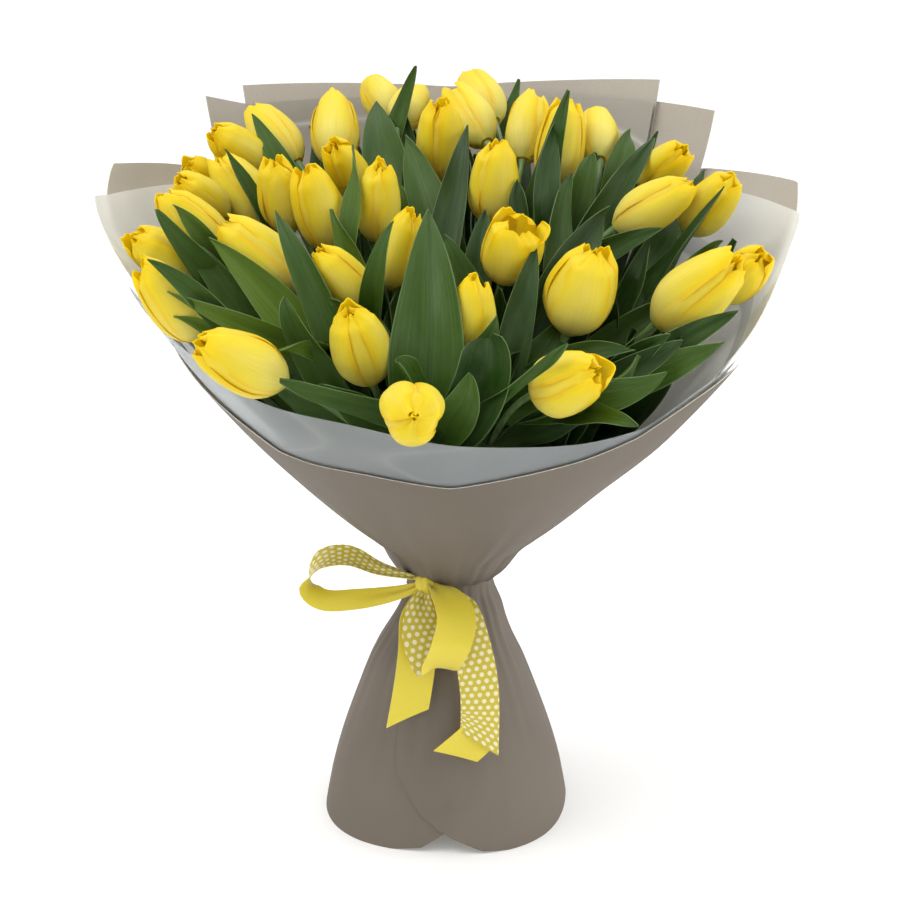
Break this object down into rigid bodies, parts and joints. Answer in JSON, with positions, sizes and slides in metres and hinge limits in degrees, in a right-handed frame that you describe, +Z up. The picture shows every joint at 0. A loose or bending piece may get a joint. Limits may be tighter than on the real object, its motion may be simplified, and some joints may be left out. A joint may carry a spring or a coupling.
{
  "type": "bunch of tulips",
  "caption": "Bunch of yellow tulips with long green leaves, wrapped in taupe paper and frosted film and tied with a polka-dot ribbon.",
  "frame": {"origin": "middle of the bunch's central cut stem, on the plane that the cut stems and the hem of the wrap stand on", "axes": "+Z up along the bunch, -Y towards the front, where the ribbon's knot and the low rim are, +X to the right"},
  "size_m": [0.4463, 0.4376, 0.4827],
  "materials": {
    "petal": "satin",
    "green": "satin",
    "paper": "matte",
    "film": "frosted",
    "ribbon": "satin",
    "string": "matte"
  },
  "bodies": {
    "root": {"bloom_01": "petal", "bloom_02": "petal", "bloom_03": "petal", "bloom_04": "petal", "bloom_05": "petal", "bloom_06": "petal", "bloom_07": "petal", "bloom_08": "petal", "bloom_09": "petal", "bloom_10": "petal", "bloom_11": "petal", "bloom_12": "petal", "bloom_13": "petal", "bloom_14": "petal", "bloom_15": "petal", "bloom_16": "petal", "bloom_17": "petal", "bloom_18": "petal", "bloom_19": "petal", "bloom_20": "petal", "bloom_21": "petal", "bloom_22": "petal", "bloom_23": "petal", "bloom_24": "petal", "bloom_25": "petal", "bloom_26": "petal", "bloom_27": "petal", "bloom_28": "petal", "bloom_29": "petal", "bloom_30": "petal", "bloom_31": "petal", "bloom_32": "petal", "bloom_33": "petal", "bloom_34": "petal", "bloom_35": "petal", "bloom_36": "petal", "bloom_37": "petal", "leafy_stems_1": "green", "leafy_stems_2": "green", "leafy_stems_3": "green", "leafy_stems_4": "green", "leafy_stems_5": "green", "leafy_stems_6": "green", "leafy_stems_7": "green", "film_back": "film", "film_left": "film", "film_right": "film", "film_front": "film", "paper_back": "paper", "paper_back_right": "paper", "paper_left": "paper", "paper_right": "paper", "paper_front": "paper", "string": "string", "ribbon": "ribbon"}
  },
  "joints": []
}
